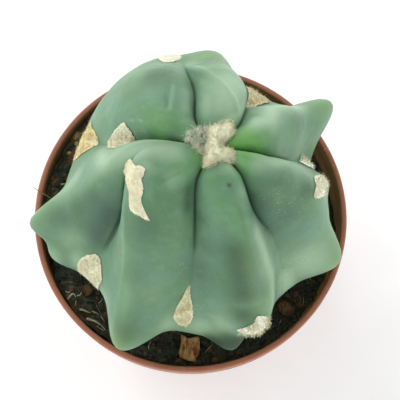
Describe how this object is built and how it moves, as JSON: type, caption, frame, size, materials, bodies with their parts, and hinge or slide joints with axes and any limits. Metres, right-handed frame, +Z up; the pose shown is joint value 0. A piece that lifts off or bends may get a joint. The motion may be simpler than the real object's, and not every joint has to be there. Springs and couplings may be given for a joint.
{
  "type": "potted blue barrel cactus",
  "caption": "Squat blue-green barrel cactus with broad swollen ribs, cream felted areoles and a woolly crown, growing in dark soil in a round tapered plastic pot.",
  "frame": {"origin": "centre of the pot's flat base, on the surface that the pot stands on", "axes": "+Z up along the pot's axis, +Y to the back of the plant as seen, +X to its right"},
  "size_m": [0.0862, 0.0864, 0.1169],
  "materials": {
    "pot_plastic": "matt terracotta-brown moulded plastic",
    "soil_peat": "dark crumbly peat compost",
    "cactus_skin": "waxy blue-green bloom, satin",
    "areole_felt": "cream felted wool",
    "chip_bark": "rough orange-brown bark"
  },
  "bodies": {
    "root": {"pot": "pot_plastic", "soil": "soil_peat", "cactus_body": "cactus_skin", "crown_wool": "areole_felt", "areole_left_upper": "areole_felt", "areole_left_lower": "areole_felt", "areole_front": "areole_felt", "areole_back_left_upper": "areole_felt", "areole_back_left_lower": "areole_felt", "areole_back": "areole_felt", "areole_back_right": "areole_felt", "areole_right": "areole_felt", "areole_hidden_back": "areole_felt", "tip_wool_right": "areole_felt", "tip_wool_front": "areole_felt", "bark_chip_front": "chip_bark", "bark_chip_left": "chip_bark", "bark_chip_right": "chip_bark", "bark_chip_back": "chip_bark"}
  },
  "joints": []
}
